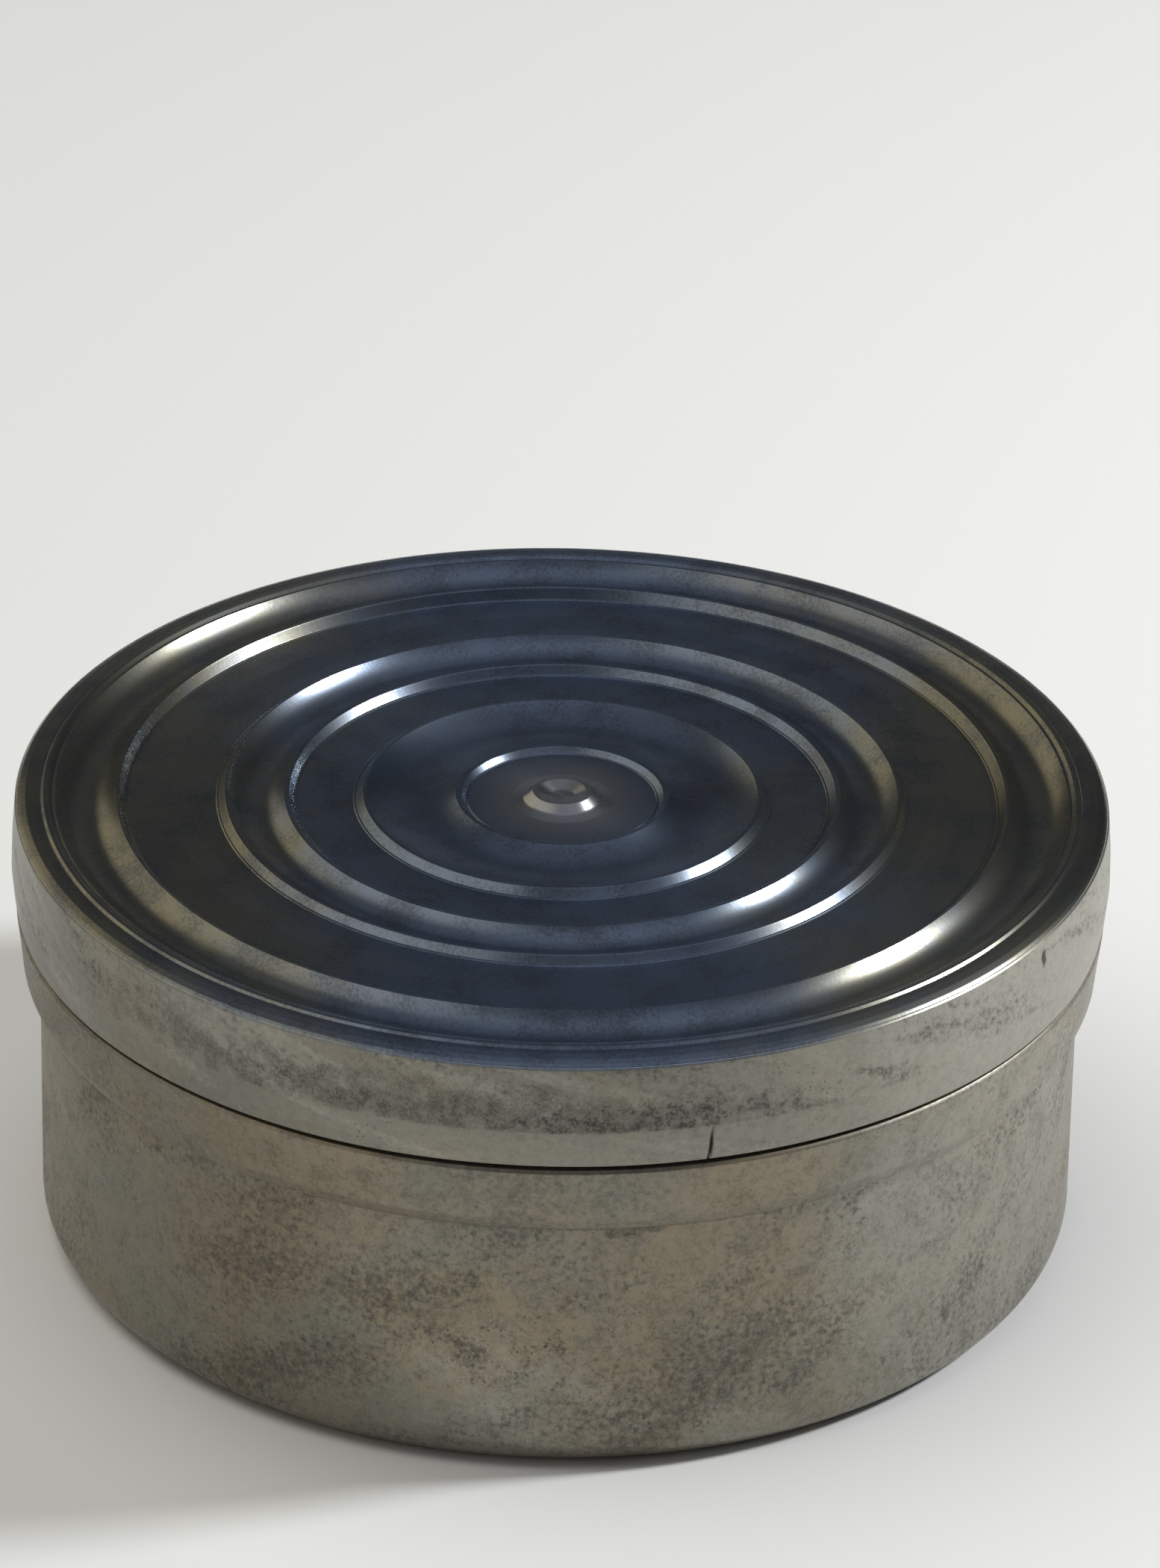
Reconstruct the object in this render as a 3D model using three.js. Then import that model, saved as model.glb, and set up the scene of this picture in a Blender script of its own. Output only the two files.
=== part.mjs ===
// A round shoe polish tin: a pressed slip lid over the neck of a drawn base cup,
// with the cake of polish cast in the cup. Millimetres, +Z up, origin on the floor
// under the centre of the base.
import * as THREE from 'three';

// Driving dimensions.
const lidRadius = 40;          // widest place of the lid's skirt
const bodyRadius = 37.97;      // straight wall of the base
const shoulder = 34;           // level that the lid's pressed rings are measured from
const lidEdge = 25.9;          // lower edge of the lid
const bandLine = 28.75;        // bend in the skirt above its hem
const beadTop = 25.55;         // ledge that the lid comes down on
const beadBottom = 20.1;       // crease under the bead
const neckTop = 32.2;
const sheet = 0.5;             // tinplate
const slipGap = 0.35;          // between the lid's hem and the neck
const cakeGap = 0.3;           // between the cake and the cup
const cakeLevel = 21.2;
const segments = 48;
const curveSteps = 4;

const hemRadius = 38.95;       // inside of the lid's hem
const neckRadius = hemRadius - slipGap;
const skirtInside = lidRadius - 2 * sheet + 0.3;

const tinplate = new THREE.MeshStandardMaterial({ color: 0x6f6c62, roughness: 0.34, metalness: 1 });
const basePlate = new THREE.MeshStandardMaterial({ color: 0x767266, roughness: 0.38, metalness: 1 });
const wax = new THREE.MeshStandardMaterial({ color: 0x1c1613, roughness: 0.42, metalness: 0 });

// Moves an outline to its right-hand side by a distance, with mitred corners.
// The point on the axis stays on the axis.
function offsetOutline(points, distance) {
  return points.map((point, i) => {
    const before = points[i - 1] ?? new THREE.Vector2(-points[1].x, points[1].y);
    const after = points[i + 1] ?? point.clone().multiplyScalar(2).sub(before);
    const arriving = point.clone().sub(before).normalize();
    const leaving = after.clone().sub(point).normalize();
    const across = arriving.clone().add(leaving).normalize();
    const reach = distance / across.dot(arriving);
    return new THREE.Vector2(point.x + across.y * reach, point.y - across.x * reach);
  });
}

function turned(name, outline, material) {
  const closed = outline[0].x > 0 ? [...outline, outline[0].clone()] : outline;
  const geometry = new THREE.LatheGeometry(closed, segments);
  geometry.rotateX(Math.PI / 2);
  const mesh = new THREE.Mesh(geometry, material);
  mesh.name = name;
  return mesh;
}

// The lid's top, from the axis out to the rim: a button, a wide dish, two sunken
// rings between hollow raised ones, and a thin crest just inside the rounded rim.
function pressedTop() {
  const top = new THREE.Path();
  const at = (radius, rise) => [radius, shoulder + rise];
  top.moveTo(...at(0, -0.3));
  top.quadraticCurveTo(...at(1.6, -0.3), ...at(2.7, 0));
  top.lineTo(...at(3.6, -0.48));
  top.lineTo(...at(6.8, -0.48));
  top.lineTo(...at(7.5, -0.08));
  top.quadraticCurveTo(...at(12.4, -1.05), ...at(14.3, 0.16));
  top.lineTo(...at(15.3, -0.48));
  top.lineTo(...at(19.2, -0.5));
  top.lineTo(...at(20.1, 0.2));
  top.quadraticCurveTo(...at(22.25, -1.25), ...at(24.4, 0.27));
  top.lineTo(...at(25.15, -0.3));
  top.quadraticCurveTo(...at(28.4, -0.26), ...at(31.7, -0.5));
  top.lineTo(...at(32.2, 0.45));
  top.quadraticCurveTo(...at(35.1, -1.5), ...at(37.95, 0.5));
  top.lineTo(...at(38.3, 0.38));
  top.lineTo(...at(39.2, 0.38));
  top.lineTo(...at(39.75, 0.05));
  return top.getPoints(curveSteps);
}

function lid() {
  const top = pressedTop();
  const skirt = new THREE.Path();
  skirt.moveTo(39.6, shoulder - 0.05);
  skirt.lineTo(39.75, shoulder - 0.15);
  skirt.lineTo(lidRadius, bandLine + 0.3);
  skirt.lineTo(lidRadius - 0.05, bandLine);
  skirt.quadraticCurveTo(lidRadius - 0.15, lidEdge + 0.8, lidRadius - 0.35, lidEdge + 0.2);
  skirt.lineTo(lidRadius - 0.6, lidEdge);
  skirt.lineTo(hemRadius + 0.15, lidEdge);
  skirt.lineTo(hemRadius, lidEdge + 0.25);
  skirt.lineTo(hemRadius, bandLine - 0.2);
  skirt.lineTo(skirtInside, bandLine + 0.1);
  skirt.lineTo(skirtInside - 0.2, shoulder - 0.7);
  const underside = offsetOutline(top, sheet).slice(0, -3).reverse();
  const outline = [...top, ...skirt.getPoints(curveSteps), ...underside];
  return turned('lid', outline.reverse(), tinplate);
}

// The cup is one drawn sheet: a flat floor with a pressed ring, a straight wall, an
// outward bead for the lid to come down on, and the neck that the lid slips over.
const cornerRadius = 2.5;
const floorRing = 31.5;
const floorRingHalfWidth = 1.2;
const floorRingDepth = 0.6;

function cupOutline() {
  const cup = new THREE.Path();
  cup.moveTo(0, 0);
  cup.lineTo(floorRing - floorRingHalfWidth, 0);
  cup.quadraticCurveTo(floorRing, 2 * floorRingDepth, floorRing + floorRingHalfWidth, 0);
  cup.lineTo(bodyRadius - cornerRadius, 0);
  cup.quadraticCurveTo(bodyRadius, 0, bodyRadius, cornerRadius);
  cup.lineTo(bodyRadius, beadBottom);
  cup.lineTo(38.75, beadBottom + 0.35);
  cup.quadraticCurveTo(39.3, beadBottom + 1.1, 39.35, beadBottom + 2.7);
  cup.lineTo(39.62, beadTop - 0.3);
  cup.lineTo(39.3, beadTop);
  cup.lineTo(neckRadius, beadTop);
  cup.lineTo(neckRadius, neckTop);
  return cup.getPoints(curveSteps);
}

function baseCup() {
  const outside = cupOutline();
  const inside = offsetOutline(outside, -sheet).reverse();
  return turned('base_cup', [...outside, ...inside], basePlate);
}

// The cake fills the cup to just above the bead's crease and has been worn into a
// shallow hollow by the brush.
function polishCake() {
  const wallRadius = bodyRadius - sheet - cakeGap;
  const floor = sheet + floorRingDepth + cakeGap;
  const hollowRadius = 27;
  const hollowDepth = 5;
  const cake = new THREE.Path();
  cake.moveTo(0, floor);
  cake.lineTo(wallRadius - cornerRadius, floor);
  cake.quadraticCurveTo(wallRadius, floor, wallRadius, floor + cornerRadius);
  cake.lineTo(wallRadius, cakeLevel);
  cake.lineTo(hollowRadius + 4, cakeLevel - 0.4);
  cake.quadraticCurveTo(hollowRadius, cakeLevel - 0.4, hollowRadius - 5, cakeLevel - 0.6 * hollowDepth);
  cake.quadraticCurveTo(hollowRadius / 2, cakeLevel - hollowDepth, 0, cakeLevel - hollowDepth);
  return turned('polish_cake', cake.getPoints(curveSteps), wax);
}

const group = new THREE.Group();
group.add(baseCup(), polishCake(), lid());

export default group;
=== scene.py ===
import math
import bmesh
import bpy
from mathutils import Matrix, Vector, noise


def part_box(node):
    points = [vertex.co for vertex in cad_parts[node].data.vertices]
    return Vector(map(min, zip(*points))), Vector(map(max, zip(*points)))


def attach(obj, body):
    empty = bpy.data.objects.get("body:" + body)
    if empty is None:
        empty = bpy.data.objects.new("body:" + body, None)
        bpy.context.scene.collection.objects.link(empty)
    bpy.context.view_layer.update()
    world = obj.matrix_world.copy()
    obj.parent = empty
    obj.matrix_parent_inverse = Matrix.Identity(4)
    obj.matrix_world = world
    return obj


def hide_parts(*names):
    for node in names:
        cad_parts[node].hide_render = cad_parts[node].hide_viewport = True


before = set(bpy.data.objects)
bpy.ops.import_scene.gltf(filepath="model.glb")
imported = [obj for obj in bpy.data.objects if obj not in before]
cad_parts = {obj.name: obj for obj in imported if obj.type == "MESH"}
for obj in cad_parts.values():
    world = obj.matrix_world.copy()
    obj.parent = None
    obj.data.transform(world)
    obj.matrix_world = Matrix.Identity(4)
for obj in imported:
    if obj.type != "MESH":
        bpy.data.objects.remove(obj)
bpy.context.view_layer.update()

mm = 0.001
scene = bpy.context.scene
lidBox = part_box("lid")
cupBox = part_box("base_cup")
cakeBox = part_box("polish_cake")
lidRadius = lidBox[1][0] / mm
lidTop = lidBox[1][2] / mm
lidEdge = lidBox[0][2] / mm


# outlines are lists of (radius, height) in millimetres, from the axis outwards
def fillet(before, corner, after, radius, steps):
    back = Vector(before) - Vector(corner)
    ahead = Vector(after) - Vector(corner)
    halfAngle = back.angle(ahead, math.pi) / 2
    reach = radius / max(math.tan(halfAngle), 1e-6)
    reach = min(reach, 0.48 * back.length, 0.48 * ahead.length)
    start = Vector(corner) + back.normalized() * reach
    end = Vector(corner) + ahead.normalized() * reach
    points = []
    for i in range(steps + 1):
        t = i / steps
        points.append(start * (1 - t) ** 2 + Vector(corner) * 2 * t * (1 - t) + end * t ** 2)
    return points


def rounded(corners, steps=4):
    # corners are (radius, height, rounding); a rounding of 0 keeps the point sharp
    points = []
    last = len(corners) - 1
    for i, (radius, height, rounding) in enumerate(corners):
        if rounding <= 0 or i in (0, last):
            points.append(Vector((radius, height)))
            continue
        before, after = corners[i - 1][:2], corners[i + 1][:2]
        points.extend(fillet(before, (radius, height), after, rounding, steps))
    return points


def hollow(start, end, sag, power=2.4, steps=22):
    # the points between two crests: steep beside the crests, flatter at the bottom
    points = []
    for i in range(1, steps):
        t = (1 - math.cos(math.pi * i / steps)) / 2
        height = start[1] + (end[1] - start[1]) * t - sag * (1 - abs(2 * t - 1) ** power)
        points.append((start[0] + (end[0] - start[0]) * t, height, 0))
    return points


def offset(points, distance):
    # moves an outline to its right-hand side, keeping a point on the axis there
    moved = []
    for i, point in enumerate(points):
        before = points[i - 1] if i else Vector((-points[1].x, points[1].y))
        after = points[i + 1] if i + 1 < len(points) else point * 2 - before
        arriving = (point - before).normalized()
        across = (arriving + (after - point).normalized()).normalized()
        reach = distance / across.dot(arriving)
        moved.append(Vector((point.x + across.y * reach, point.y - across.x * reach)))
    return moved


def spin(name, outline, angles, place, zoneOf):
    # turns a closed outline, or one that ends on the axis, into a mesh
    shape = bmesh.new()
    rings = []
    for point in outline:
        if point.x < 1e-6:
            rings.append([shape.verts.new((0, 0, point.y * mm))])
        else:
            rings.append([shape.verts.new(place(point.x, point.y, angle)) for angle in angles])
    pairs = list(zip(rings, rings[1:]))
    if len(rings[0]) > 1:
        pairs.append((rings[-1], rings[0]))
    count = len(angles)
    for index, (inner, outer) in enumerate(pairs):
        zone = zoneOf(index)
        for i in range(count):
            j = (i + 1) % count
            corners = [inner[i % len(inner)], outer[i % len(outer)]]
            if len(outer) > 1:
                corners.append(outer[j])
            if len(inner) > 1:
                corners.append(inner[j])
            if len(corners) > 2:
                face = shape.faces.new(corners)
                face.smooth = True
                face.material_index = zone
    bmesh.ops.recalc_face_normals(shape, faces=shape.faces)
    mesh = bpy.data.meshes.new(name)
    shape.to_mesh(mesh)
    shape.free()
    piece = bpy.data.objects.new(name, mesh)
    scene.collection.objects.link(piece)
    return piece


def evenAngles(count):
    return [2 * math.pi * i / count for i in range(count)]


lidLook = {
    "sheet": 0.42,
    "columns": 320,
    "crease": 0.7,          # below the rim's crest, where the skirt starts
    "bandLine": 28.75,
    "hemInside": 38.95,
    "dishSag": 0.72,
    "middleSag": 1.0,
    "outerSag": 1.16,
    "footLine": 0.055,      # height of the fine bead pressed along the foot of each step
    "splitAngle": -74.2,    # where the hem has cracked, in degrees
    "splitLean": math.radians(0.42),
    "splitWidth": 0.2,
    "splitDepth": 0.5,
    "skirtRadius": 38.6,    # the skirt's unevenness starts outside this
    "hemDepth": 0.7,        # the split reaches this far in from the widest place
    "wobble": 0.035,        # how far the skirt is out of round
    "ripple": 0.03,         # hand-worn waves in the skirt
    "settle": 0.02,         # keeps the waves inside the widest radius
}


def lidRings(look, fine=True):
    # heights are measured down from the rim's crest, the highest place on the lid;
    # the coarse outline, without the fine beads, is for the underside
    crest = lidTop
    steps = 22 if fine else 7
    ridge = (7.72, crest - 0.58)
    inner = (14.2, crest - 0.36)
    middle = (20.2, crest - 0.33)
    middleEnd = (24.3, crest - 0.2)
    outer = (32.4, crest - 0.16)
    outerEnd = (36.7, crest - 0.2)
    low = crest - 1.0
    bead = look["footLine"]
    dish = hollow(ridge, inner, look["dishSag"], 2.0, steps)
    middleHollow = hollow(middle, middleEnd, look["middleSag"], 2.4, steps)
    outerHollow = hollow(outer, outerEnd, look["outerSag"], 2.4, steps)
    if not fine:
        plain = [(0, crest - 0.72, 0), (1.2, crest - 0.6, 0), (2.1, crest - 0.3, 0)]
        plain += [(2.9, crest - 0.88, 0), (3.7, low, 0), (6.95, low, 0), (7.5, crest - 0.58, 0)]
        plain += dish
        plain += [(14.3, crest - 0.36, 0), (15.1, low, 0), (19.3, low, 0), (20, crest - 0.33, 0)]
        plain += middleHollow
        plain += [(24.45, crest - 0.2, 0), (25, crest - 0.8, 0), (31.65, low, 0)]
        plain += [(32.2, crest - 0.16, 0)]
        plain += outerHollow
        return plain + [(37.4, crest, 0), (38.4, crest - 0.22, 0)]
    rings = [
        (0, crest - 0.7, 0),
        (0.8, crest - 0.69, 0.7),
        (1.75, crest - 0.3, 0.35),
        (2.15, crest - 0.27, 0.2),
        (2.8, crest - 0.84, 0.5),
        (3.7, low, 0.5),
        (6.8, low, 0.05),
        (6.9, low + bead, 0.03),
        (6.98, low, 0.03),
        (7.34, crest - 0.6, 0.12),
        (*ridge, 0.12),
    ]
    rings += dish
    rings += [
        (*inner, 0.1),
        (14.5, crest - 0.38, 0.14),
        (14.98, low + 0.02, 0.1),
        (15.1, low + bead, 0.03),
        (15.2, low, 0.03),
        (19.2, low, 0.03),
        (19.3, low + bead, 0.03),
        (19.42, low + 0.02, 0.1),
        (19.82, crest - 0.35, 0.14),
        (*middle, 0.1),
    ]
    rings += middleHollow
    rings += [
        (*middleEnd, 0.1),
        (24.52, crest - 0.22, 0.12),
        (24.92, crest - 0.78, 0.1),
        (25.04, crest - 0.76, 0.03),
        (25.14, crest - 0.82, 0.03),
        (26.6, crest - 0.88, 3),
        (28.6, crest - 0.84, 6),
        (31.52, low, 0.03),
        (31.62, low + bead, 0.03),
        (31.72, low + 0.02, 0.1),
        (32.14, crest - 0.19, 0.14),
        (*outer, 0.1),
    ]
    rings += outerHollow
    rings += [
        (*outerEnd, 0.06),
        (36.82, crest - 0.2, 0.04),
        (36.95, crest - 0.24, 0.04),
        (37.22, crest - 0.06, 0.08),
        (37.42, crest, 0.08),
        (37.62, crest - 0.02, 0.06),
        (37.8, crest - 0.2, 0.05),
        (37.92, crest - 0.17, 0.04),
        (38.3, crest - 0.2, 0.2),
        (38.9, crest - 0.29, 0.6),
        (39.35, crest - 0.46, 0.3),
        (39.56, crest - 0.62, 0.1),
    ]
    return rings


def buildLid(look):
    top = lidRings(look)
    skirtTop = lidTop - look["crease"]
    bandLine = look["bandLine"]
    skirt = [
        (39.57, skirtTop, 0.03),
        (39.7, skirtTop - 0.1, 0.06),
        (lidRadius - 0.12, skirtTop - 2.4, 2),
        (lidRadius - 0.04, bandLine + 0.12, 0.5),
        (lidRadius - 0.22, lidEdge + 1.1, 1.0),
        (lidRadius - 0.4, lidEdge + 0.12, 0.12),
        (lidRadius - 0.62, lidEdge, 0.1),
        (look["hemInside"] + 0.1, lidEdge, 0.1),
        (look["hemInside"], lidEdge + 0.3, 0.2),
        (look["hemInside"], bandLine - 0.2, 0.1),
        (39.3, bandLine + 0.1, 0.1),
        (39.15, skirtTop - 0.5, 0.4),
    ]
    outline = rounded(top + skirt)
    hiddenFrom = len(rounded(top + skirt[:8]))
    plain = [Vector(corner[:2]) for corner in lidRings(look, False)]
    outline += reversed(offset(plain, look["sheet"]))

    angles = evenAngles(look["columns"])
    centre = math.radians(look["splitAngle"]) % (2 * math.pi)
    half = look["splitWidth"] / 2 / lidRadius
    angles = [angle for angle in angles if abs(angle - centre) > 3 * half]
    splitAngles = [centre - 2 * half, centre - half, centre - half * 0.5]
    splitAngles += [centre + half * 0.5, centre + half, centre + 2 * half]
    angles = sorted(angles + splitAngles)

    splitTop = bandLine + 0.1

    def place(radius, height, angle):
        onSkirt = min(1, max(0, lidTop - height)) if radius > look["skirtRadius"] else 0
        direction = Vector((math.cos(angle), math.sin(angle), 0))
        out = noise.noise(direction * 1.3 + Vector((2, 5, 1))) * look["wobble"]
        waves = Vector((direction.x * 5, direction.y * 5, height * 0.22))
        out += noise.noise(waves) * look["ripple"] - look["settle"]
        turned = angle
        cut = 0
        if radius > lidRadius - look["hemDepth"] and lidEdge - 0.1 < height < splitTop + 0.05:
            along = (splitTop - height) / (splitTop - lidEdge)
            if abs(angle - centre) < 2.5 * half:
                turned = angle + look["splitLean"] * (0.5 - along)
            if abs(angle - centre) < 0.6 * half:
                cut = look["splitDepth"] * min(1, max(0, along * 6))
        reach = min(radius + out * onSkirt, lidRadius) - cut
        return Vector((math.cos(turned) * reach, math.sin(turned) * reach, height)) * mm

    return spin("tin_lid", outline, angles, place, lambda ring: int(ring >= hiddenFrom))


cupLook = {
    "sheet": 0.42,
    "columns": 288,
    "wallRadius": 37.97,
    "cornerRadius": 2.7,
    "ringRadius": 31.5,
    "ringHalfWidth": 1.2,
    "ringDepth": 0.6,
    "beadBottom": 20.1,
    "beadTop": 25.62,
    "neckRadius": 38.6,
    "gapAngle": math.radians(-92),     # where the lid stands off the bead most
    "gapRise": 0.12,        # how much nearer to the lid the bead is elsewhere
    "gapDepth": 0.5,        # the rise starts this far below the bead's ledge
}


def buildCup(look):
    wall = look["wallRadius"]
    corner = look["cornerRadius"]
    ring, half, deep = look["ringRadius"], look["ringHalfWidth"], look["ringDepth"]
    beadLow, beadTop = look["beadBottom"], look["beadTop"]
    neckTop = cupBox[1][2] / mm
    arc = []
    for i in range(13):
        turn = math.pi / 2 * i / 12
        arc.append((wall - corner * (1 - math.sin(turn)), corner * (1 - math.cos(turn)), 0))
    outside = [
        (0, 0, 0),
        (15, 0, 0),
        (ring - half, 0, 0.5),
        (ring - half / 3, deep, 0.5),
        (ring + half / 3, deep, 0.5),
        (ring + half, 0, 0.5),
    ]
    outside += arc
    outside += [
        (wall, 11, 0),
        (wall, beadLow, 0.18),
        (38.75, beadLow + 0.38, 0.35),
        (39.2, beadLow + 1.3, 0.9),
        (39.4, beadLow + 3.4, 1.5),
        (39.64, beadTop - 0.22, 0.2),
        (39.45, beadTop, 0.12),
        (look["neckRadius"], beadTop, 0.1),
        (look["neckRadius"], neckTop - 0.1, 0.1),
        (look["neckRadius"] - 0.15, neckTop, 0),
    ]
    outer = rounded(outside)
    coarse = rounded(outside, 1)
    inner = offset(coarse, -look["sheet"])
    inner = [point for point in reversed(inner) if point.y < neckTop - 0.3]
    rim = [Vector((look["neckRadius"] - 0.3, neckTop - 0.03))]
    outline = outer + rim + inner
    shown = len(outer)

    def place(radius, height, angle):
        rise = 0
        above = (height - beadTop) / look["gapDepth"] + 1
        if radius > look["neckRadius"] + 0.05 and above > 0:
            away = math.cos(angle - look["gapAngle"])
            rise = look["gapRise"] * (1 - max(0, away) ** 3) * above
        return Vector((math.cos(angle) * radius, math.sin(angle) * radius, height + rise)) * mm

    angles = evenAngles(look["columns"])
    return spin("tin_base", outline, angles, place, lambda ring: int(ring >= shown))


cakeLook = {
    "columns": 240,
    "cornerSize": 2.5,
    "rimWidth": 3.6,        # the unworn ring of wax at the wall
    "hollowRadius": 30,
    "hollowDepth": 4.9,
    "hollowSteps": 60,
    "brushMarks": 0.12,     # height of the marks that the brush leaves
}


def buildCake(look):
    radius = cakeBox[1][0] / mm
    floor = cakeBox[0][2] / mm
    level = cakeBox[1][2] / mm
    corner = look["cornerSize"]
    outline = rounded([
        (0, floor, 0),
        (radius - corner, floor, 0.5),
        (radius, floor + corner, 1.2),
        (radius, level - 0.1, 0.1),
        (radius - 0.5, level - 0.12, 0.3),
        (radius - 3, level - 0.45, 1),
    ])
    steps = look["hollowSteps"]
    for i in range(steps + 1):
        reach = (radius - look["rimWidth"]) * (1 - i / steps)
        fall = 1 - min(1, reach / look["hollowRadius"]) ** 4
        outline.append(Vector((reach, level - 0.5 - (look["hollowDepth"] - 0.5) * fall)))

    def place(reach, height, angle):
        across, along = math.cos(angle), math.sin(angle)
        spot = Vector((across * reach, along * reach, height))
        lift = 0
        if height > level - 6 and reach < radius - 1:
            fade = min(1, (radius - 1 - reach) / 3)
            sweep = reach * 0.85 + math.sin(angle * 2 + 1) * 1.6
            marks = noise.noise(Vector((sweep, across * 1.5, along * 1.5))) * 0.6
            lift = (marks + noise.noise(spot * 0.35) * 0.8) * look["brushMarks"] * fade
        spot.z = min(spot.z + lift, level)
        return spot * mm

    return spin("polish_in_tin", outline, evenAngles(look["columns"]), place, lambda ring: 0)


def newGroup(name, inputs, output):
    # inputs are (name, value) pairs in the order that useGroup gives them
    group = bpy.data.node_groups.new(name, "ShaderNodeTree")
    for given, value in inputs:
        socket = group.interface.new_socket(name=given, in_out="INPUT", socket_type="NodeSocketFloat")
        socket.default_value = value
    group.interface.new_socket(name=output, in_out="OUTPUT", socket_type="NodeSocketFloat")
    given = group.nodes.new("NodeGroupInput")
    result = group.nodes.new("NodeGroupOutput")
    return group, given.outputs, result.inputs[output]


def feed(tree, socket, value):
    # a number goes on the socket itself, a socket is linked to it
    if isinstance(value, (int, float)):
        socket.default_value = value
    else:
        tree.links.new(value, socket)


def mathNode(tree, operation, first, second=None):
    node = tree.nodes.new("ShaderNodeMath")
    node.operation = operation
    feed(tree, node.inputs[0], first)
    if second is not None:
        feed(tree, node.inputs[1], second)
    return node.outputs[0]


def product(tree, first, second):
    return mathNode(tree, "MULTIPLY", first, second)


def highest(tree, *values):
    total = values[0]
    for value in values[1:]:
        total = mathNode(tree, "MAXIMUM", total, value)
    return total


def rangeNode(tree, value, low, high, toLow=0.0, toHigh=1.0, smooth=True):
    node = tree.nodes.new("ShaderNodeMapRange")
    node.interpolation_type = "SMOOTHSTEP" if smooth else "LINEAR"
    for name, given in (("Value", value), ("From Min", low), ("From Max", high),
                        ("To Min", toLow), ("To Max", toHigh)):
        feed(tree, node.inputs[name], given)
    return node.outputs["Result"]


def ramp(tree, mask, low, high):
    # a straight ramp from low to high as the mask goes from 0 to 1
    return rangeNode(tree, mask, 0.0, 1.0, low, high, False)


def noiseNode(tree, vector, scale, detail=4.0, roughness=0.55):
    node = tree.nodes.new("ShaderNodeTexNoise")
    for name, given in (("Vector", vector), ("Scale", scale),
                        ("Detail", detail), ("Roughness", roughness)):
        feed(tree, node.inputs[name], given)
    return node.outputs["Fac"]


def mixColour(tree, factor, first, second):
    node = tree.nodes.new("ShaderNodeMix")
    node.data_type = "RGBA"
    feed(tree, node.inputs[0], factor)
    for socket, value in ((node.inputs[6], first), (node.inputs[7], second)):
        if isinstance(value, tuple):
            socket.default_value = (*value, 1)
        else:
            tree.links.new(value, socket)
    return node.outputs[2]


def mixValue(tree, factor, first, second):
    node = tree.nodes.new("ShaderNodeMix")
    tree.links.new(factor, node.inputs[0])
    tree.links.new(first, node.inputs[2])
    tree.links.new(second, node.inputs[3])
    return node.outputs[0]


def place3d(tree):
    return tree.nodes.new("ShaderNodeTexCoord").outputs["Object"]


def splitNode(tree, vector):
    node = tree.nodes.new("ShaderNodeSeparateXYZ")
    tree.links.new(vector, node.inputs[0])
    return node.outputs


def joinNode(tree, *values):
    node = tree.nodes.new("ShaderNodeCombineXYZ")
    for socket, value in zip(node.inputs, values):
        feed(tree, socket, value)
    return node.outputs[0]


def turnNode(tree, vector, angle):
    node = tree.nodes.new("ShaderNodeVectorRotate")
    node.rotation_type = "Z_AXIS"
    tree.links.new(vector, node.inputs["Vector"])
    tree.links.new(angle, node.inputs["Angle"])
    return node.outputs[0]


def lengthOf(tree, first, second):
    # the length of the diagonal over two sides
    return mathNode(tree, "SQRT", mathNode(tree, "ADD", product(tree, first, first),
                                           product(tree, second, second)))


# shader groups that more than one finish uses
def buildSmearGroup():
    # cloudy tarnish broken up by sand-like grain, dragged slantwise round the tin by the hand
    inputs = (("Scale", 120), ("Twist", 30), ("Squash", 2), ("Grain", 2500),
              ("Bite", 0.4), ("Low", 0.4), ("High", 0.65))
    group, given, mask = newGroup("handSmears", inputs, "Mask")
    spot = place3d(group)
    lean = product(group, splitNode(group, spot)["Z"], given["Twist"])
    dragged = group.nodes.new("ShaderNodeVectorMath")
    dragged.operation = "MULTIPLY"
    group.links.new(turnNode(group, spot, lean), dragged.inputs[0])
    group.links.new(joinNode(group, 1, 1, given["Squash"]), dragged.inputs[1])
    clouds = noiseNode(group, dragged.outputs[0], given["Scale"])
    grain = mathNode(group, "SUBTRACT", noiseNode(group, spot, given["Grain"], 3.0, 0.6), 0.5)
    broken = mathNode(group, "ADD", clouds, product(group, grain, given["Bite"]))
    group.links.new(rangeNode(group, broken, given["Low"], given["High"]), mask)
    return group


def buildSpeckGroup():
    # small dark pits, gathered in patches
    inputs = (("Scale", 1500), ("Size", 0.22), ("Patches", 90), ("Rarity", 0.55))
    group, given, mask = newGroup("pitSpecks", inputs, "Mask")
    spot = place3d(group)
    cells = group.nodes.new("ShaderNodeTexVoronoi")
    group.links.new(spot, cells.inputs["Vector"])
    group.links.new(given["Scale"], cells.inputs["Scale"])
    patches = noiseNode(group, spot, given["Patches"], 2.0)
    gathered = rangeNode(group, patches, given["Rarity"], 0.75)
    size = product(group, gathered, given["Size"])
    inner = product(group, size, 0.5)
    dot = rangeNode(group, cells.outputs["Distance"], inner, size, 1.0, 0.0)
    present = mathNode(group, "GREATER_THAN", size, 0.01)
    group.links.new(product(group, dot, present), mask)
    return group


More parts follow.
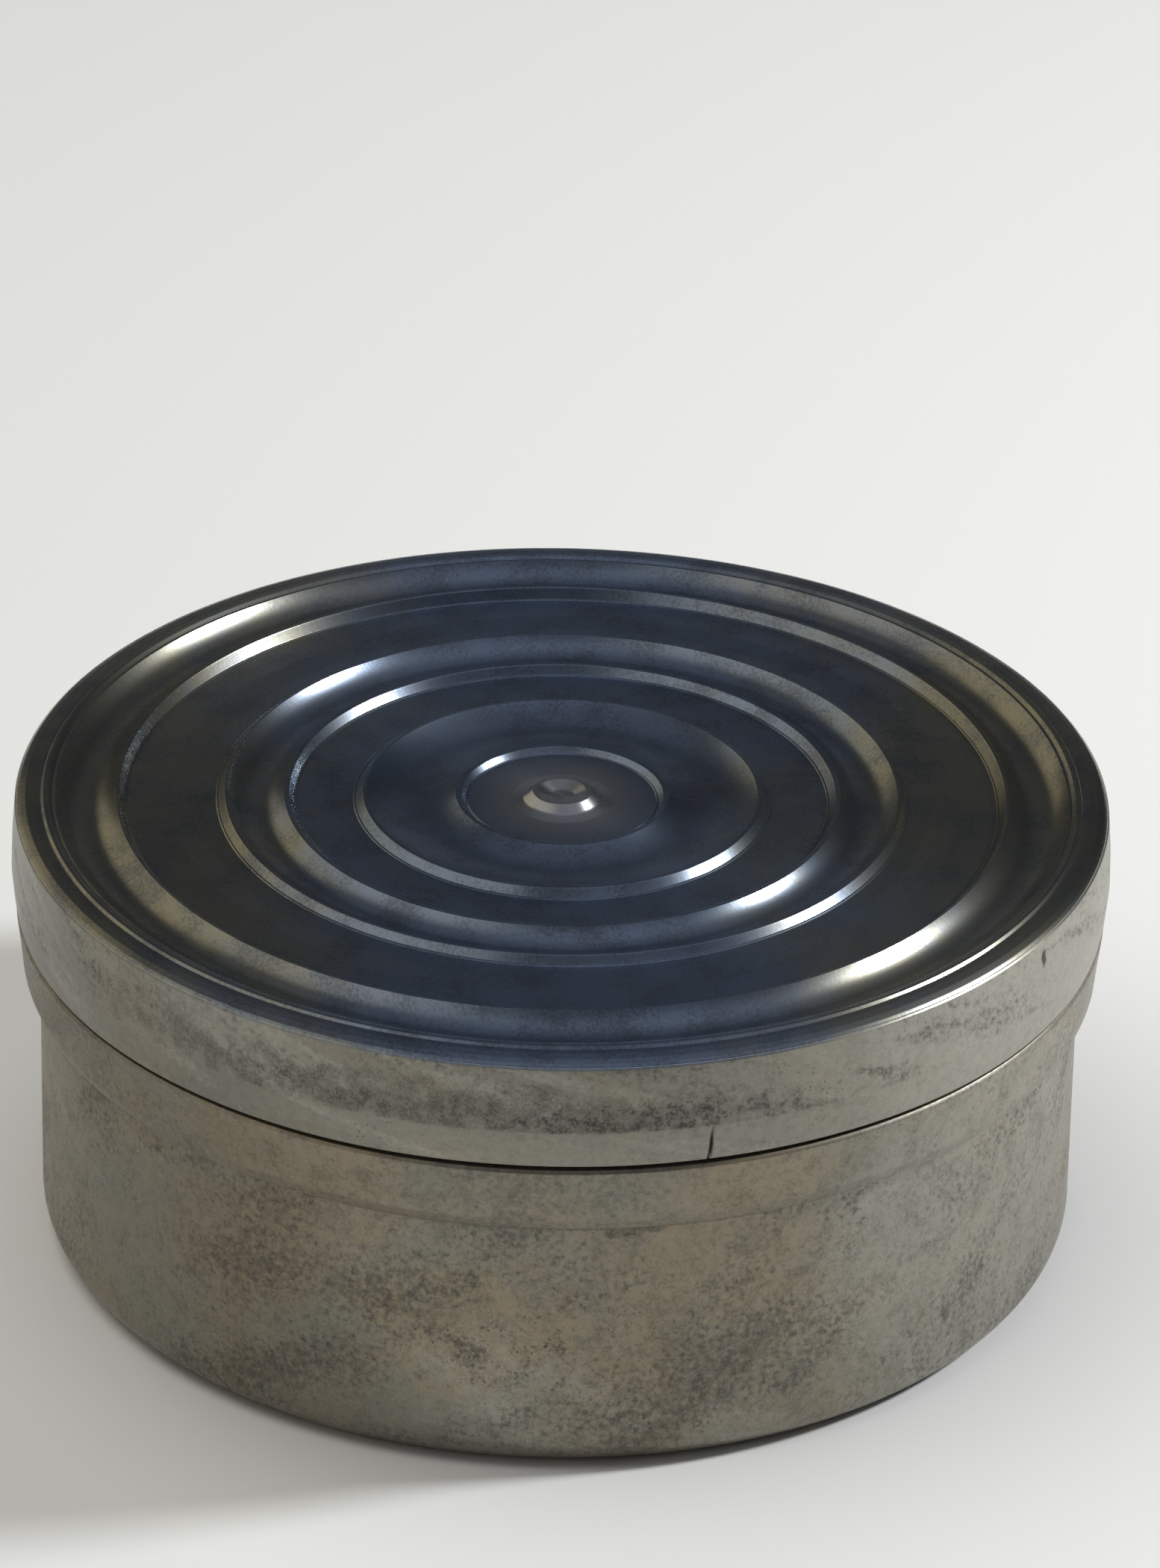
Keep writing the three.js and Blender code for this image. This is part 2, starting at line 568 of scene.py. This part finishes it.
def buildPatchGroup():
    # one ragged mark at a place on the wall, given by its angle, height and size
    inputs = (("Angle", 0), ("Height", 0.01), ("Half Width", 0.002), ("Half Height", 0.001),
              ("Ragged", 0.5), ("Grain", 700))
    group, given, mask = newGroup("wallPatch", inputs, "Mask")
    spot = place3d(group)
    parts = splitNode(group, turnNode(group, spot, product(group, given["Angle"], -1)))
    across = mathNode(group, "DIVIDE", parts["Y"], given["Half Width"])
    rise = mathNode(group, "SUBTRACT", parts["Z"], given["Height"])
    up = mathNode(group, "DIVIDE", rise, given["Half Height"])
    rough = mathNode(group, "SUBTRACT", noiseNode(group, spot, given["Grain"], 4.0, 0.65), 0.5)
    ragged = product(group, product(group, rough, given["Ragged"]), 4)
    reach = mathNode(group, "ADD", lengthOf(group, across, up), ragged)
    near = rangeNode(group, reach, 0.35, 1.0, 1.0, 0.0)
    front = mathNode(group, "GREATER_THAN", parts["X"], 0)
    group.links.new(product(group, near, front), mask)
    return group


def buildTurningGroup():
    # fine rings left by rolling and polishing, by distance from the axis and by height
    group, given, height = newGroup("turningMarks", (("Lines", 4000), ("Drift", 60)), "Height")
    spot = place3d(group)
    parts = splitNode(group, spot)
    across = product(group, lengthOf(group, parts["X"], parts["Y"]), given["Lines"])
    up = product(group, parts["Z"], given["Lines"])
    drift = product(group, noiseNode(group, spot, given["Drift"], 1.0), 3)
    lines = noiseNode(group, joinNode(group, across, up, drift), 1.0, 3.0, 0.6)
    group.links.new(lines, height)
    return group


def useGroup(tree, group, values):
    # values are in the order of the group's inputs
    node = tree.nodes.new("ShaderNodeGroup")
    node.node_tree = group
    for socket, value in zip(node.inputs, values):
        socket.default_value = value
    return node.outputs[0]


def usePatch(tree, group, values):
    # the first value is the angle in degrees, from +X towards +Y
    return useGroup(tree, group, (math.radians(values[0]), *values[1:]))


def newFinish(name):
    material = bpy.data.materials.new(name)
    material.use_nodes = True
    tree = material.node_tree
    tree.nodes.clear()
    shader = tree.nodes.new("ShaderNodeBsdfPrincipled")
    result = tree.nodes.new("ShaderNodeOutputMaterial")
    tree.links.new(shader.outputs[0], result.inputs["Surface"])
    return material, tree, shader


def bumpNode(tree, height, strength, distance):
    node = tree.nodes.new("ShaderNodeBump")
    node.inputs["Strength"].default_value = strength
    node.inputs["Distance"].default_value = distance
    tree.links.new(height, node.inputs["Height"])
    return node.outputs[0]


lidFinish = {
    # blue and olive are a painted reflection of the room on the top: bluish through the middle, olive
    # towards the two sides
    "blue": (0.31, 0.38, 0.50),
    "olive": (0.40, 0.38, 0.30),
    "film": (0.15, 0.17, 0.20),         # thin dark tarnish in the pressed rings
    "worn": (0.66, 0.65, 0.64),         # the button in the middle, made lighter than the rest of the top
    "grey": (0.27, 0.262, 0.225),
    "warm": (0.31, 0.285, 0.225),
    # lighter tin for rubbed patches and dust, also the colour of the painted sheen on the lit side
    "rubbedAndSheen": (0.44, 0.425, 0.37),
    "dark": (0.068, 0.064, 0.058),
    "topRoughness": 0.265,
    "skirtRoughness": 0.36,
    "turned": 0.5,          # how much the fine rings draw the shine out
    "quarterTurn": 0.25,    # the shine is drawn out across the rings
    "skirtMetal": 0.68,
    "skirtFrom": lidTop - 0.75,
    "bandLine": 28.85,
    "rimRadii": (0.0391, 0.0395),       # the top's finish ends between these
    "oliveFrom": (0.014, 0.036),        # distance aside where the painted blue reflection turns to painted olive
    "buttonRadii": (0.0026, 0.0078),
    # smears: scale, twist, squash, grain, bite, low, high
    "drift": (70, 0, 1, 600, 0.3, 0.3, 0.7),
    "mottle": (260, 0, 1, 4200, 0.9, 0.35, 0.8),
    "warmth": (75, 15, 1, 3200, 0.5, 0.38, 0.68),
    "rubbing": (135, 85, 1.9, 2200, 0.35, 0.52, 0.74),
    "streaks": (190, 70, 1.5, 2400, 0.7, 0.47, 0.78),
    "fine": (1400, 0, 1, 5200, 0.9, 0.3, 0.8),
    # specks: scale, size, patches, rarity
    "dust": (1500, 0.2, 140, 0.5),
    "pits": (2100, 0.26, 120, 0.48),
    # patches: angle in degrees, height, half width, half height, ragged, grain
    "lowSmear": (-83, 0.0297, 0.013, 0.0017, 0.8, 900),
    "longSmear": (-108, 0.0303, 0.026, 0.0022, 1.0, 700),
    "nick": (-30.6, 0.03243, 0.0004, 0.0009, 0.4, 1500),
    # painted shade darkening the open split in the hem
    "splitShade": (lidLook["splitAngle"], 0.02735, 0.00022, 0.00175, 0.02, 500),
    # a lighter patch painted on the front-right side, where the lamp's light falls: painted sheen
    "paintedSheenSide": (-33, 0.03, 0.022, 0.03, 0.2, 160),
}


def lidTinplate(groups, look):
    material, tree, shader = newFinish("lidTinplate")

    def smear(name):
        return useGroup(tree, groups["smears"], look[name])

    def speck(name):
        return useGroup(tree, groups["specks"], look[name])

    def patch(name):
        return usePatch(tree, groups["patch"], look[name])

    spot = place3d(tree)
    parts = splitNode(tree, spot)
    height = parts["Z"]
    onTop = rangeNode(tree, height, (look["skirtFrom"] - 0.1) * mm, (look["skirtFrom"] + 0.1) * mm)
    reach = tree.nodes.new("ShaderNodeVectorMath")
    reach.operation = "LENGTH"
    tree.links.new(joinNode(tree, parts["X"], parts["Y"]), reach.inputs[0])
    inside = rangeNode(tree, reach.outputs["Value"], *look["rimRadii"], 1.0, 0.0)
    top = highest(tree, inside, onTop)
    band = look["bandLine"]
    aboveBand = rangeNode(tree, height, (band - 0.1) * mm, (band + 0.15) * mm)

    # top: a painted reflection, blue-black through the middle and olive towards two sides, under fine
    # mottled tarnish
    aside = mathNode(tree, "ABSOLUTE", parts["X"])
    wandering = mathNode(tree, "ADD", aside, product(tree, smear("drift"), 0.012))
    paintedReflectionSide = rangeNode(tree, wandering, *look["oliveFrom"])
    mottle = smear("mottle")
    topColour = mixColour(tree, paintedReflectionSide, look["blue"], look["olive"])
    topColour = mixColour(tree, product(tree, mottle, 0.75), topColour, look["film"])
    topColour = mixColour(tree, product(tree, speck("dust"), 0.5), topColour, look["rubbedAndSheen"])
    button = rangeNode(tree, reach.outputs["Value"], *look["buttonRadii"], 0.8, 0.0)
    topColour = mixColour(tree, button, topColour, look["worn"])

    # skirt: grey tin with warm and rubbed patches, a painted sheen on the lit front-right side, dark
    # handling marks above the band and painted shade in the hem's split
    fine = smear("fine")
    rubbedAndSheen = highest(tree, smear("rubbing"), patch("paintedSheenSide"))
    marks = highest(tree, product(tree, smear("streaks"), 0.8), patch("lowSmear"),
                    product(tree, patch("longSmear"), 0.8))
    marks = product(tree, marks, ramp(tree, aboveBand, 0.25, 1.0))
    marks = product(tree, marks, ramp(tree, fine, 0.35, 1.0))
    # small pits, a nick, and painted shade in the split
    marks = highest(tree, marks, product(tree, speck("pits"), 0.6),
                    highest(tree, patch("nick"), patch("splitShade")))
    skirtColour = mixColour(tree, smear("warmth"), look["grey"], look["warm"])
    skirtColour = mixColour(tree, product(tree, rubbedAndSheen, 0.6), skirtColour, look["rubbedAndSheen"])
    skirtColour = mixColour(tree, product(tree, fine, 0.22), skirtColour, look["dark"])
    skirtColour = mixColour(tree, marks, skirtColour, look["dark"])
    tree.links.new(mixColour(tree, top, skirtColour, topColour), shader.inputs["Base Color"])

    topRough = ramp(tree, mottle, look["topRoughness"], look["topRoughness"] + 0.05)
    skirtRough = ramp(tree, marks, look["skirtRoughness"], look["skirtRoughness"] + 0.16)
    tree.links.new(mixValue(tree, top, skirtRough, topRough), shader.inputs["Roughness"])
    tree.links.new(ramp(tree, top, look["skirtMetal"], 1.0), shader.inputs["Metallic"])
    rings = useGroup(tree, groups["turning"], (5000, 40))
    grain = noiseNode(tree, spot, 2600, 3.0, 0.6)
    relief = mathNode(tree, "ADD", product(tree, rings, 0.5), product(tree, grain, 0.6))
    relief = mathNode(tree, "SUBTRACT", relief, product(tree, marks, 0.4))
    tree.links.new(bumpNode(tree, relief, 0.13, 0.00004), shader.inputs["Normal"])
    around = tree.nodes.new("ShaderNodeTangent")
    around.direction_type = "RADIAL"
    around.axis = "Z"
    tree.links.new(around.outputs[0], shader.inputs["Tangent"])
    shader.inputs["Anisotropic"].default_value = look["turned"]
    shader.inputs["Anisotropic Rotation"].default_value = look["quarterTurn"]
    return material


cupFinish = {
    "grey": (0.255, 0.247, 0.203),
    "brown": (0.295, 0.25, 0.175),
    # lighter tin for rubbed patches, also the colour of the painted sheen on the lit side
    "rubbedAndSheen": (0.40, 0.385, 0.335),
    "dark": (0.07, 0.064, 0.056),
    "metal": 0.68,
    "roughness": 0.38,
    "beadFrom": (0.0199, 0.0204),
    # the crease under the bead, darkened with painted shade
    "creaseLine": 0.02018,
    "creaseWidths": (0.00008, 0.0004),
    # smears: scale, twist, squash, grain, bite, low, high
    "browning": (62, -10, 1, 2600, 0.55, 0.4, 0.66),
    "rubbing": (80, 30, 1.2, 3000, 0.5, 0.53, 0.78),
    "clouds": (100, -25, 1.1, 2300, 0.9, 0.44, 0.72),
    "mottle": (420, 0, 1, 3600, 0.9, 0.42, 0.78),
    "fine": (1500, 0, 1, 5200, 0.9, 0.3, 0.8),
    # specks: scale, size, patches, rarity
    "pits": (2300, 0.3, 95, 0.44),
    "pitting": (2400, 0.55, 420, 0.22),
    # patches: angle in degrees, height, half width, half height, ragged, grain
    "cluster": (-96, 0.0095, 0.0085, 0.005, 0.6, 500),
    "shade": (-97, 0.011, 0.014, 0.0075, 0.5, 350),
    "blot": (-41.9, 0.0063, 0.0015, 0.0012, 0.9, 1100),
    # a darker patch just under the bead at the front
    "underBead": (-81.5, 0.0199, 0.0035, 0.0008, 0.8, 900),
    # a lighter patch painted on the front-right side, where the lamp's light falls: painted sheen
    "paintedSheenSide": (-36, 0.014, 0.02, 0.03, 0.25, 160),
}


def cupTinplate(groups, look):
    material, tree, shader = newFinish("cupTinplate")

    def smear(name):
        return useGroup(tree, groups["smears"], look[name])

    def speck(name):
        return useGroup(tree, groups["specks"], look[name])

    def patch(name):
        return usePatch(tree, groups["patch"], look[name])

    spot = place3d(tree)
    height = splitNode(tree, spot)["Z"]
    onBead = rangeNode(tree, height, *look["beadFrom"])
    onWall = mathNode(tree, "SUBTRACT", 1.0, product(tree, onBead, 0.35))
    mottle, fine, cluster = smear("mottle"), smear("fine"), patch("cluster")
    # rubbed patches, and a painted sheen on the lit front-right side
    rubbedAndSheen = highest(tree, smear("rubbing"), patch("paintedSheenSide"))
    # painted shade along the crease under the bead
    fromCrease = mathNode(tree, "ABSOLUTE", mathNode(tree, "SUBTRACT", height, look["creaseLine"]))
    crease = rangeNode(tree, fromCrease, *look["creaseWidths"], 1.0, 0.0)
    # darkening: real tarnish, pits and blots, plus painted shade at the crease and a darker patch
    # under the bead
    dirtAndShade = highest(
        tree,
        product(tree, product(tree, smear("clouds"), 0.85), onWall),
        product(tree, mottle, 0.5),
        product(tree, speck("pits"), 0.8),
        product(tree, product(tree, cluster, speck("pitting")), 1.0),
        product(tree, product(tree, cluster, mottle), 1.0),
        product(tree, patch("blot"), 0.9),
        product(tree, patch("underBead"), 0.8),
        product(tree, crease, 0.9),
    )
    dirtAndShade = product(tree, dirtAndShade, ramp(tree, fine, 0.5, 1.0))
    browned = highest(tree, smear("browning"), patch("shade"))
    plate = mixColour(tree, browned, look["grey"], look["brown"])
    plate = mixColour(tree, product(tree, rubbedAndSheen, 0.6), plate, look["rubbedAndSheen"])
    plate = mixColour(tree, product(tree, fine, 0.25), plate, look["dark"])
    tree.links.new(mixColour(tree, dirtAndShade, plate, look["dark"]), shader.inputs["Base Color"])
    rough = ramp(tree, dirtAndShade, look["roughness"], look["roughness"] + 0.18)
    tree.links.new(rough, shader.inputs["Roughness"])
    metal = ramp(tree, dirtAndShade, look["metal"], look["metal"] - 0.3)
    tree.links.new(metal, shader.inputs["Metallic"])
    grain = noiseNode(tree, spot, 2200, 4.0, 0.65)
    rings = useGroup(tree, groups["turning"], (2500, 30))
    relief = mathNode(tree, "ADD", product(tree, rings, 0.3), product(tree, grain, 0.8))
    relief = mathNode(tree, "SUBTRACT", relief, product(tree, dirtAndShade, 0.6))
    tree.links.new(bumpNode(tree, relief, 0.25, 0.00005), shader.inputs["Normal"])
    return material


insideFinish = {
    "bare": (0.52, 0.5, 0.45),
    "stained": (0.06, 0.05, 0.045),
    "stains": (140, 20, 1, 1800, 0.3, 0.5, 0.66),
}


def insideTinplate(groups, look):
    # the sheltered inside of both pieces: brighter, with polish rubbed on it
    material, tree, shader = newFinish("insideTinplate")
    spot = place3d(tree)
    stained = useGroup(tree, groups["smears"], look["stains"])
    plate = mixColour(tree, stained, look["bare"], look["stained"])
    tree.links.new(plate, shader.inputs["Base Color"])
    tree.links.new(ramp(tree, stained, 0.28, 0.5), shader.inputs["Roughness"])
    tree.links.new(ramp(tree, stained, 1.0, 0.2), shader.inputs["Metallic"])
    grain = noiseNode(tree, spot, 1800, 3.0)
    tree.links.new(bumpNode(tree, grain, 0.15, 0.00004), shader.inputs["Normal"])
    return material


waxFinish = {
    "black": (0.012, 0.01, 0.009),
    "dusty": (0.03, 0.025, 0.022),
    "dust": (110, 0, 1, 1500, 0.3, 0.4, 0.65),
}


def polishWax(groups, look):
    material, tree, shader = newFinish("polishWax")
    spot = place3d(tree)
    dust = useGroup(tree, groups["smears"], look["dust"])
    wax = mixColour(tree, dust, look["black"], look["dusty"])
    tree.links.new(wax, shader.inputs["Base Color"])
    tree.links.new(ramp(tree, dust, 0.5, 0.68), shader.inputs["Roughness"])
    grain = noiseNode(tree, spot, 900, 5.0, 0.6)
    tree.links.new(bumpNode(tree, grain, 0.2, 0.0001), shader.inputs["Normal"])
    return material


roomLook = {
    "floor": (0.80, 0.80, 0.79),
    "dark": (0.027, 0.031, 0.038),
    "lampAt": (0.496, 0.061, 0.388),
    "lampSize": 0.09,
    "lampPower": 3.1,
    "lampColour": (0.97, 0.99, 1.0),
    "bounceAt": (-0.26, 0.05, 0.88),    # soft light on the paper, too broad to show in the metal
    "bounceSize": 0.9,
    "bouncePower": 3.9,
    "bounceColour": (1.0, 0.98, 0.93),
    # soft panels round the bench: azimuth, elevation, half angle, softness, colour
    "panels": [
        (90, 12, 15, 7, (0.09, 0.095, 0.105)),
        (90, 62, 21, 8, (0.12, 0.13, 0.15)),
        (300, 75, 26, 16, (0.22, 0.23, 0.26)),
        (140, 24, 23, 5, (0.43, 0.39, 0.3)),
        (200, 28, 38, 16, (0.5, 0.48, 0.43)),
        (270, 52, 13, 5, (0.12, 0.125, 0.13)),
    ],
}


def areaLight(name, at, size, power, colour, target, inGloss=True):
    data = bpy.data.lights.new(name, "AREA")
    data.shape = "DISK"
    data.size = size
    data.energy = power
    data.color = colour
    lamp = bpy.data.objects.new(name, data)
    lamp.location = at
    lamp.rotation_euler = (Vector(target) - Vector(at)).to_track_quat("-Z", "Y").to_euler()
    lamp.visible_glossy = inGloss
    scene.collection.objects.link(lamp)


def buildRoom(look):
    shape = bmesh.new()
    bmesh.ops.create_grid(shape, x_segments=1, y_segments=1, size=2.5)
    mesh = bpy.data.meshes.new("paper_floor")
    shape.to_mesh(mesh)
    shape.free()
    floor = bpy.data.objects.new("paper_floor", mesh)
    scene.collection.objects.link(floor)
    material, tree, shader = newFinish("palePaper")
    shader.inputs["Base Color"].default_value = (*look["floor"], 1)
    shader.inputs["Roughness"].default_value = 0.9
    shader.inputs["Specular IOR Level"].default_value = 0.2
    mesh.materials.append(material)

    middle = (0, 0, lidTop * mm / 2)
    areaLight("deskLamp", look["lampAt"], look["lampSize"], look["lampPower"],
              look["lampColour"], middle)
    areaLight("roomBounce", look["bounceAt"], look["bounceSize"], look["bouncePower"],
              look["bounceColour"], middle, False)
    buildWorld(look)


def buildWorld(look):
    world = bpy.data.worlds.new("darkRoom")
    world.use_nodes = True
    tree = world.node_tree
    total = look["dark"]
    way = tree.nodes.new("ShaderNodeTexCoord").outputs["Generated"]
    for azimuth, elevation, half, soft, colour in look["panels"]:
        turn, lift = math.radians(azimuth), math.radians(elevation)
        facing = tree.nodes.new("ShaderNodeVectorMath")
        facing.operation = "DOT_PRODUCT"
        tree.links.new(way, facing.inputs[0])
        level = math.cos(lift)
        towards = (math.cos(turn) * level, math.sin(turn) * level, math.sin(lift))
        facing.inputs[1].default_value = towards
        outer = math.cos(math.radians(half + soft))
        inner = math.cos(math.radians(max(half - soft, 0)))
        shade = rangeNode(tree, facing.outputs["Value"], outer, inner)
        total = mixColour(tree, shade, total, colour)
    tree.links.new(total, tree.nodes["Background"].inputs["Color"])
    scene.world = world


cameraLook = {
    "aim": (1.27 * mm, 0.1 * mm, 34.69 * mm),
    "distance": 0.6377,
    "elevation": math.radians(28.284),
    "roll": math.radians(-1.124),
    "lens": 201.93,
    "sensor": 36,
}


def placeCamera(look):
    data = bpy.data.cameras.new("benchCamera")
    data.lens = look["lens"]
    data.sensor_width = look["sensor"]
    data.clip_start = 0.05
    data.clip_end = 20
    camera = bpy.data.objects.new("benchCamera", data)
    tilt = look["elevation"]
    ahead = Vector((0, math.cos(tilt), -math.sin(tilt)))
    up = Vector((0, math.sin(tilt), math.cos(tilt)))
    side = Vector((1, 0, 0))
    roll = look["roll"]
    rightAxis = side * math.cos(roll) - up * math.sin(roll)
    upAxis = side * math.sin(roll) + up * math.cos(roll)
    turn = Matrix((rightAxis, upAxis, -ahead)).transposed()
    spot = Vector(look["aim"]) - ahead * look["distance"]
    camera.matrix_world = Matrix.Translation(spot) @ turn.to_4x4()
    scene.collection.objects.link(camera)
    scene.camera = camera


print("camera and room")
placeCamera(cameraLook)
buildRoom(roomLook)
scene.view_settings.view_transform = "Standard"

print("finishes")
groups = {
    "smears": buildSmearGroup(),
    "specks": buildSpeckGroup(),
    "patch": buildPatchGroup(),
    "turning": buildTurningGroup(),
}
innerMaterial = insideTinplate(groups, insideFinish)

print("lid")
lid = buildLid(lidLook)
lid.data.materials.append(lidTinplate(groups, lidFinish))
lid.data.materials.append(innerMaterial)
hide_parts("lid")
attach(lid, "lid")

print("base")
cup = buildCup(cupLook)
cup.data.materials.append(cupTinplate(groups, cupFinish))
cup.data.materials.append(innerMaterial)
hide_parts("base_cup")
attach(cup, "base")

print("polish")
cake = buildCake(cakeLook)
cake.data.materials.append(polishWax(groups, waxFinish))
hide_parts("polish_cake")
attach(cake, "base")
